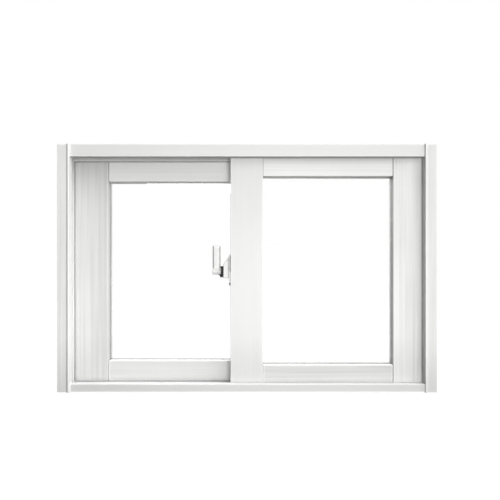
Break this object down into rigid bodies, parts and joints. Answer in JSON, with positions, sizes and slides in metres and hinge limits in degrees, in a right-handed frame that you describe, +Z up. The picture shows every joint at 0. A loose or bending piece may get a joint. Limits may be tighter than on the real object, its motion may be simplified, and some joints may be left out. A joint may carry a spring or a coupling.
{
  "type": "horizontal sliding window",
  "caption": "White timber window whose two glazed sashes slide sideways past each other on guide rails, with a crescent lock on the meeting stile.",
  "frame": {"origin": "under the middle of the sill, on the surface that the window stands on", "axes": "+X along the window to the right as seen from the room, +Y from the room outwards, +Z up"},
  "size_m": [0.92, 0.127, 0.6],
  "materials": {
    "frame_paint": "white satin paint",
    "sash_paint": "white satin paint",
    "bead_paint": "white satin paint",
    "guide_strip": "smooth",
    "clear_glass": "clear float",
    "white_enamel": "gloss enamel",
    "black_steel": "blacked steel"
  },
  "bodies": {
    "frame": {"left_jamb": "frame_paint", "right_jamb": "frame_paint", "head": "frame_paint", "sill": "frame_paint", "head_parting_rib": "frame_paint", "left_parting_rib": "frame_paint", "right_parting_rib": "frame_paint", "front_guide_rail": "guide_strip", "rear_guide_rail": "guide_strip"},
    "front_sash": {"front_outer_stile": "sash_paint", "front_meeting_stile": "sash_paint", "front_top_rail": "sash_paint", "front_bottom_rail": "sash_paint", "front_glass": "clear_glass", "front_meeting_bead": "bead_paint", "front_outer_bead": "bead_paint", "front_top_bead": "bead_paint", "front_bottom_bead": "bead_paint", "lock_base": "white_enamel"},
    "rear_sash": {"rear_outer_stile": "sash_paint", "rear_meeting_stile": "sash_paint", "rear_top_rail": "sash_paint", "rear_bottom_rail": "sash_paint", "rear_glass": "clear_glass", "rear_meeting_bead": "bead_paint", "rear_outer_bead": "bead_paint", "rear_top_bead": "bead_paint", "rear_bottom_bead": "bead_paint", "lock_keeper": "black_steel"},
    "lock_lever": {"lock_lever": "white_enamel", "lock_cam": "black_steel", "lock_pivot": "black_steel"}
  },
  "joints": [
    {"name": "front_slide", "type": "slide", "parent": "frame", "child": "front_sash", "axis": [-1, 0, 0], "range_m": [0, 0.335]},
    {"name": "rear_slide", "type": "slide", "parent": "frame", "child": "rear_sash", "axis": [1, 0, 0], "range_m": [0, 0.4]},
    {"name": "lever_turn", "type": "hinge", "parent": "front_sash", "child": "lock_lever", "pos_m": [-0.06, -0.017, 0.293], "axis": [1, 0, 0], "range_deg": [0, 180]}
  ]
}
